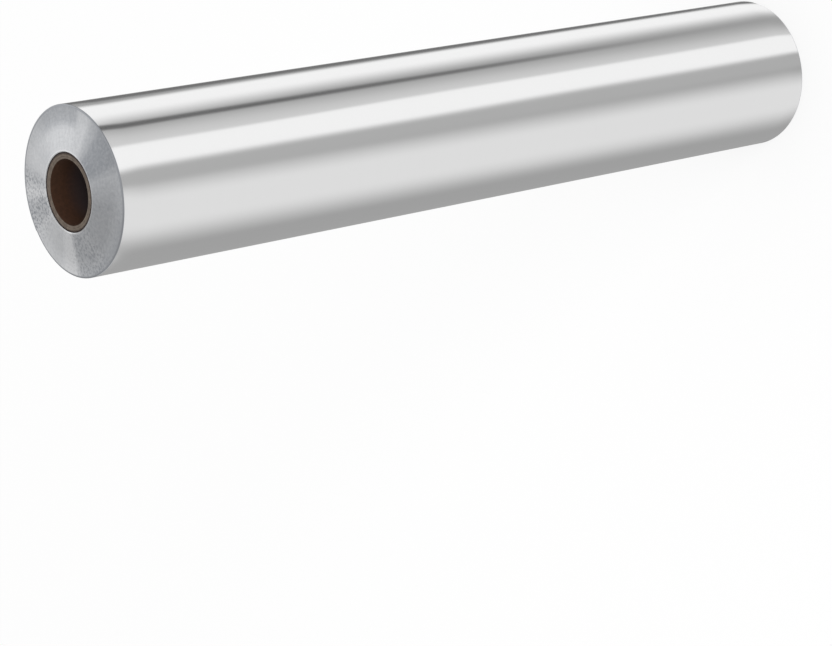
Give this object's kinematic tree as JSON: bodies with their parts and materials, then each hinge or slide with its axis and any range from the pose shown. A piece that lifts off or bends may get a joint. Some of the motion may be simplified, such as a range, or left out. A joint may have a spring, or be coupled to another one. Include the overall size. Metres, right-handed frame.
{
  "type": "aluminium foil roll",
  "caption": "Long roll of bright household aluminium foil wound tight on an open paperboard core, with its free edge lying along the outside.",
  "frame": {"origin": "centre of the lower end of the roll, on the core's axis, at the height of the level outer turns", "axes": "+Z up along the core's axis, towards the end whose face the picture shows; +X is up in the picture, and -Y faces its camera"},
  "size_m": [0.0531, 0.0532, 0.3018],
  "materials": {
    "foil": "bright rolled foil, satin on the cut ends",
    "core_board": "matt grey-brown paperboard"
  },
  "bodies": {
    "root": {"foil_roll": "foil", "core_tube": "core_board"}
  },
  "joints": []
}
